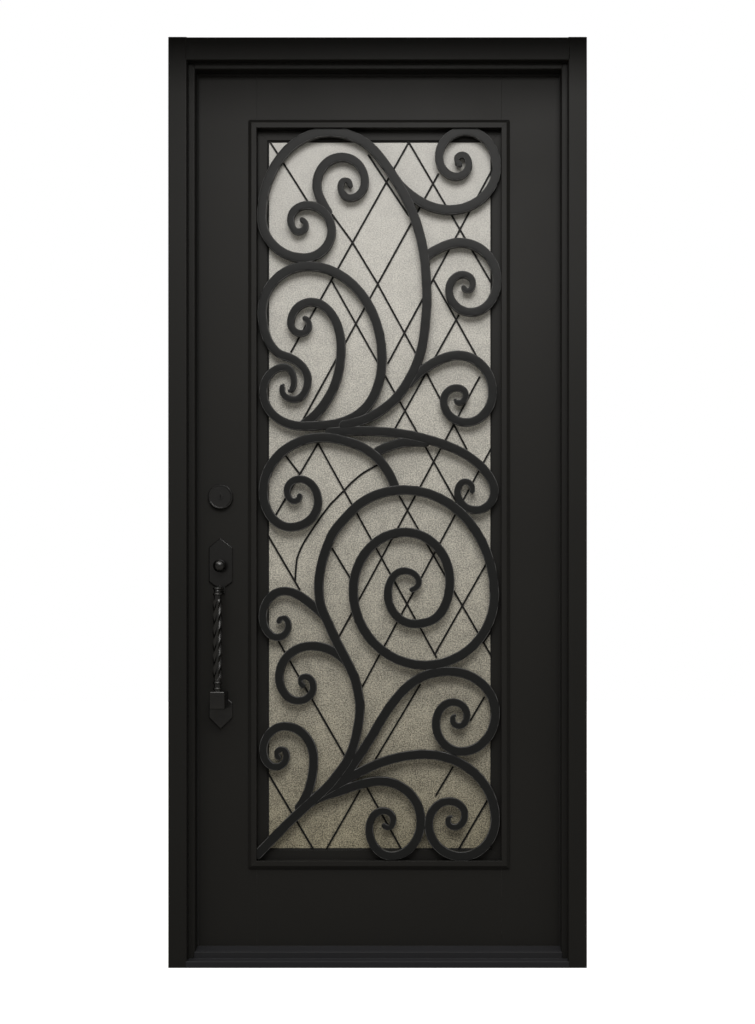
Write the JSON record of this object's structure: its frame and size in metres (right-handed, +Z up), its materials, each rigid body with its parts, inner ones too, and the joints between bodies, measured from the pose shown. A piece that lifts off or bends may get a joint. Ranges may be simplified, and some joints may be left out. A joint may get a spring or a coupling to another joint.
{
  "type": "exterior door set: steel frame, single inward-swinging leaf with scrollwork glazed panel",
  "caption": "Iron entry door set: frame, threshold and inward-swinging leaf with a tall glazed panel of forged scrollwork, thumb-latch handle and deadbolt.",
  "frame": {"origin": "on the floor, at the middle of the frame's width and depth, on the underside of the threshold", "axes": "+X to the right seen from outside, +Y into the house, +Z up"},
  "size_m": [0.9144, 0.178, 2.032],
  "materials": {
    "frame_steel": "satin textured paint, very dark bronze",
    "leaf_steel": "satin textured paint, near black",
    "scroll_iron": "hammered, painted, edges slightly worn",
    "hardware_black": "black oxide, satin",
    "glass": "textured, obscure",
    "rubber": "matt",
    "plate_steel": "brushed"
  },
  "bodies": {
    "frame": {"strike_jamb": "frame_steel", "hinge_jamb": "frame_steel", "head_jamb": "frame_steel", "threshold": "frame_steel", "weatherstrip": "rubber", "strike_plates": "plate_steel", "hinge_bottom_frame_half": "hardware_black", "hinge_middle_frame_half": "hardware_black", "hinge_top_frame_half": "hardware_black"},
    "leaf": {"lock_stile": "leaf_steel", "hinge_stile": "leaf_steel", "top_rail": "leaf_steel", "bottom_rail": "leaf_steel", "panel_bead_left": "leaf_steel", "panel_bead_right": "leaf_steel", "panel_bead_top": "leaf_steel", "panel_bead_bottom": "leaf_steel", "glass_sash_left": "leaf_steel", "glass_sash_right": "leaf_steel", "glass_sash_top": "leaf_steel", "glass_sash_bottom": "leaf_steel", "glass_unit": "glass", "diamond_lattice": "scroll_iron", "trunk_scroll": "scroll_iron", "crown_scroll": "scroll_iron", "heart_scroll": "scroll_iron", "arch_scroll": "scroll_iron", "long_arm_scroll": "scroll_iron", "lower_branch_scroll": "scroll_iron", "foot_branch_scroll": "scroll_iron", "foot_curl_scroll": "scroll_iron", "inner_heart_scroll": "scroll_iron", "crown_curl_scroll": "scroll_iron", "link_scroll": "scroll_iron", "right_curl_scrolls": "scroll_iron", "left_curl_scrolls": "scroll_iron", "hinge_bottom_leaf_half": "hardware_black", "hinge_middle_leaf_half": "hardware_black", "hinge_top_leaf_half": "hardware_black", "handle_top_plate": "hardware_black", "handle_bottom_plate": "hardware_black", "handle_grip": "hardware_black", "deadbolt_rose": "hardware_black", "interior_knob": "hardware_black", "interior_turn": "hardware_black", "edge_faceplates": "plate_steel"},
    "thumb": {"thumb_piece": "hardware_black"},
    "cylinder": {"key_plug": "hardware_black"}
  },
  "joints": [
    {"name": "door_swing", "type": "hinge", "parent": "frame", "child": "leaf", "pos_m": [0.41445, 0.0675, 1], "axis": [0, 0, -1], "range_deg": [0, 100]},
    {"name": "thumb_latch", "type": "hinge", "parent": "leaf", "child": "thumb", "pos_m": [-0.3517, 0.016, 0.879], "axis": [1, 0, 0], "range_deg": [0, 10], "stiffness_Nm_per_rad": 0.6, "springref_deg": -28.65},
    {"name": "key_turn", "type": "hinge", "parent": "leaf", "child": "cylinder", "pos_m": [-0.3517, 0, 1.033], "axis": [0, 1, 0], "range_deg": [-90, 90]}
  ]
}
